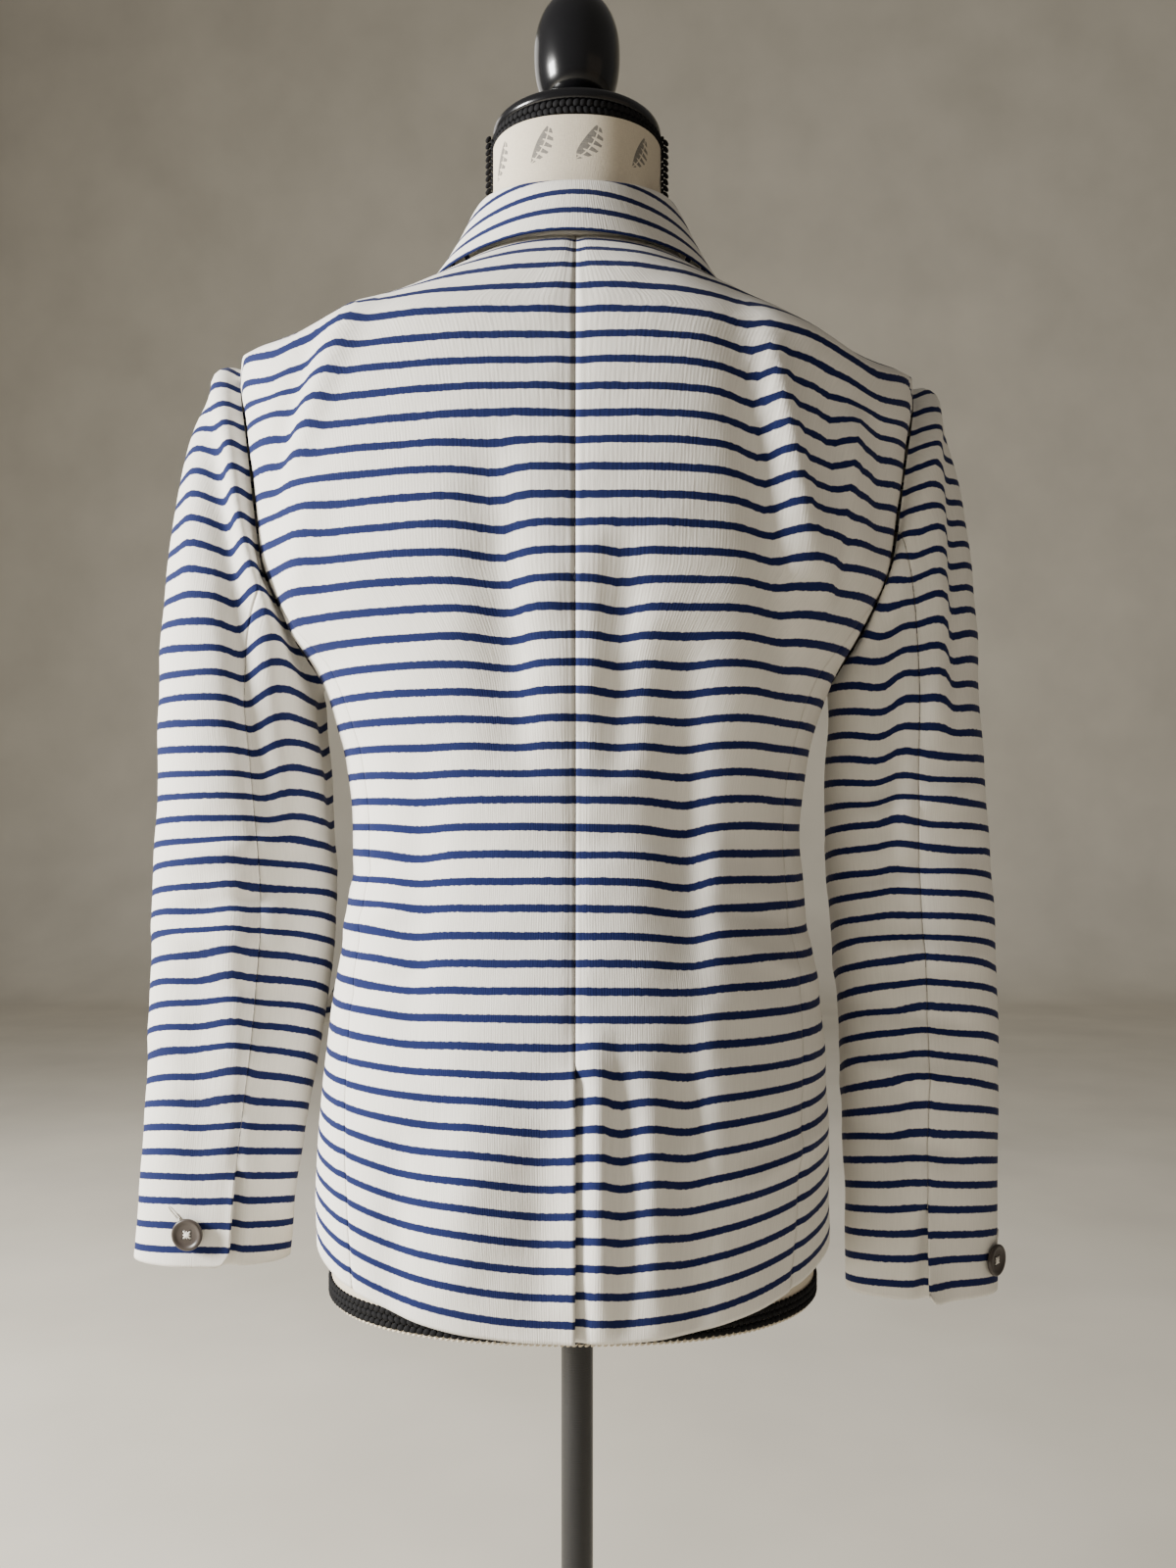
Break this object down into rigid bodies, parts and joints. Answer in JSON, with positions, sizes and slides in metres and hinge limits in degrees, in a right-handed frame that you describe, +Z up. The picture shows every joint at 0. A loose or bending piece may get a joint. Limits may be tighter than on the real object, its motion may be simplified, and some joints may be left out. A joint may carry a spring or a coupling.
{
  "type": "knit blazer on a limbless dress form",
  "caption": "Fitted striped knit blazer with a turned-down collar, lapped vent and buttoned cuffs, worn on a limbless dress form with a round stand.",
  "frame": {"origin": "middle of the base's underside, where the stand rests", "axes": "+Z up, the garment's front faces -Y, the wearer's left is +X"},
  "size_m": [0.5556, 0.3, 1.2248],
  "materials": {
    "jersey": "matte, cream with narrow navy stripes",
    "linen": "matte, cream with grey leaf motifs",
    "braid": "matte black",
    "gloss": "gloss black",
    "button": "satin dark brown"
  },
  "bodies": {
    "root": {"back_left": "jersey", "back_right": "jersey", "side_left": "jersey", "side_right": "jersey", "front_left": "jersey", "front_right": "jersey", "lapel_left": "jersey", "lapel_right": "jersey", "flap_left": "jersey", "flap_right": "jersey", "sleeve_upper_left": "jersey", "sleeve_upper_right": "jersey", "sleeve_under_left": "jersey", "sleeve_under_right": "jersey", "collar_stand": "jersey", "collar_fall": "jersey", "cuff_button_left": "button", "cuff_button_right": "button", "front_button_top": "button", "front_button_low": "button", "form_torso": "linen", "rim_braid": "braid", "neck_braid": "braid", "neck_cap": "gloss", "finial": "gloss", "pole": "gloss", "base": "gloss"}
  },
  "joints": []
}
